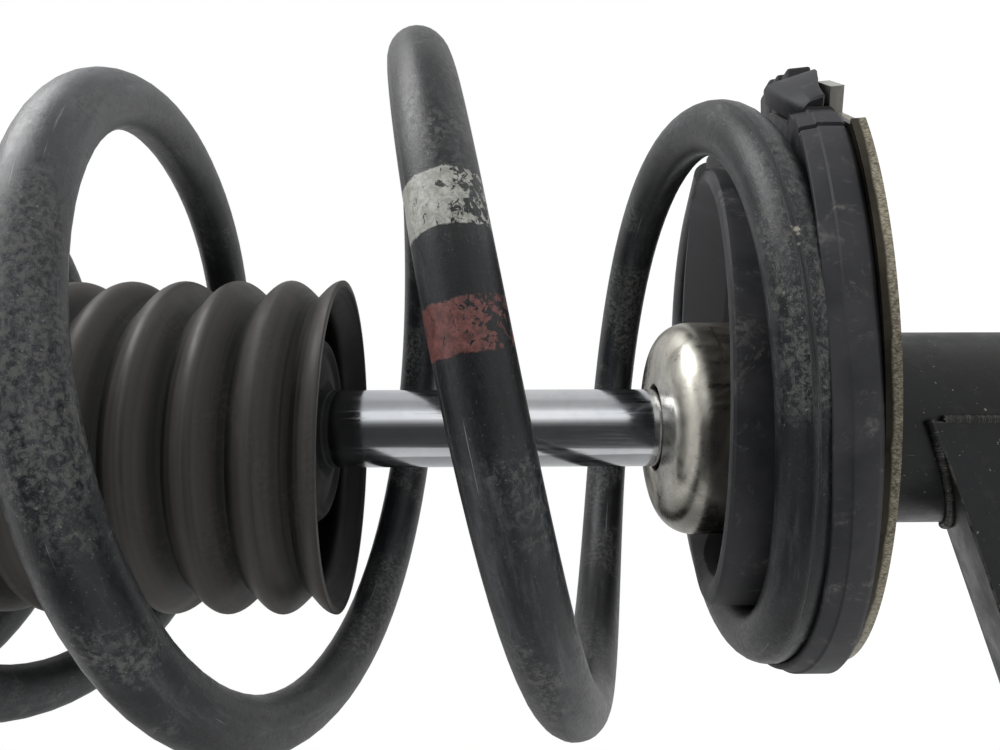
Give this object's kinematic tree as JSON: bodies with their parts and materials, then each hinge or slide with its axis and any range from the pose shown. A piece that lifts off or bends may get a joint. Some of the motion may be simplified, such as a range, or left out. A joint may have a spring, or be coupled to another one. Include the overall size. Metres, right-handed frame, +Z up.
{
  "type": "suspension strut assembly",
  "caption": "Suspension strut at full rebound: damper with side-bowed coil spring, tilted lower seat, ribbed boot, bump stop, strut bearing and studded top mount.",
  "frame": {"origin": "centre of the top mount's bearing face, on the rod's axis", "axes": "+Z up along the rod towards the studs, +X outboard towards the knuckle clevis, +Y across the clevis bolts"},
  "size_m": [0.1905, 0.1745, 0.574],
  "materials": {
    "black_paint": "satin black paint",
    "spring_coating": "dark blue-grey coating, worn",
    "raw_steel": "pressed steel, dulled",
    "zinc_steel": "zinc plated",
    "chrome": "mirror polished",
    "dark_rubber": "matte",
    "boot_rubber": "matte, warm dark grey",
    "foam_rubber": "fine cellular",
    "cap_steel": "glossy dark plating",
    "bearing_plastic": "matte",
    "cage_plastic": "matte",
    "bearing_steel": "polished",
    "sintered_iron": "fine grey",
    "bronze": "dull",
    "band_plastic": "matte"
  },
  "bodies": {
    "top_mount": {"top_mount_plate": "black_paint", "top_mount_studs": "zinc_steel", "top_mount_rubber": "dark_rubber", "top_mount_sleeve": "zinc_steel", "rebound_washer": "zinc_steel", "rod_nut": "zinc_steel", "bump_stop_cup": "zinc_steel", "bump_stop": "foam_rubber", "bearing_upper_race": "bearing_plastic", "piston_rod": "chrome", "rebound_ring": "raw_steel", "rebound_bumper": "dark_rubber", "piston": "sintered_iron", "piston_band": "band_plastic", "piston_valve_discs": "bearing_steel", "piston_nut": "zinc_steel"},
    "ball_set": {"bearing_cage": "cage_plastic", "bearing_balls": "bearing_steel"},
    "spring_top": {"bearing_lower_race": "bearing_plastic", "upper_spring_seat": "black_paint", "upper_spring_pad": "dark_rubber", "dust_boot": "boot_rubber", "coil_spring": "spring_coating"},
    "strut_body": {"lower_spring_pad": "dark_rubber", "lower_spring_seat": "raw_steel", "striker_cap": "cap_steel", "strut_tube": "black_paint", "oil_seal": "dark_rubber", "rod_guide": "sintered_iron", "guide_bush": "bronze", "pressure_tube": "raw_steel", "foot_valve": "sintered_iron", "foot_valve_plate": "bearing_steel", "base_cap": "black_paint", "knuckle_clevis": "black_paint", "clevis_web": "black_paint", "link_bracket": "black_paint", "hose_bracket": "black_paint"}
  },
  "joints": [
    {"name": "strut_bearing_turn", "type": "hinge", "parent": "top_mount", "child": "spring_top", "pos_m": [0, 0, 0], "axis": [0, 0, 1], "continuous": true},
    {"name": "ball_set_turn", "type": "hinge", "parent": "top_mount", "child": "ball_set", "pos_m": [0, 0, 0], "axis": [0, 0, 1], "continuous": true},
    {"name": "strut_slide", "type": "slide", "parent": "spring_top", "child": "strut_body", "axis": [0, 0, 1], "range_m": [0, 0.12], "stiffness_N_per_m": 25000, "springref_m": -0.06, "deforming": ["coil_spring", "dust_boot", "bump_stop"]}
  ],
  "couplings": [
    {"joint": "ball_set_turn", "follows": "strut_bearing_turn", "ratio": 0.5}
  ]
}
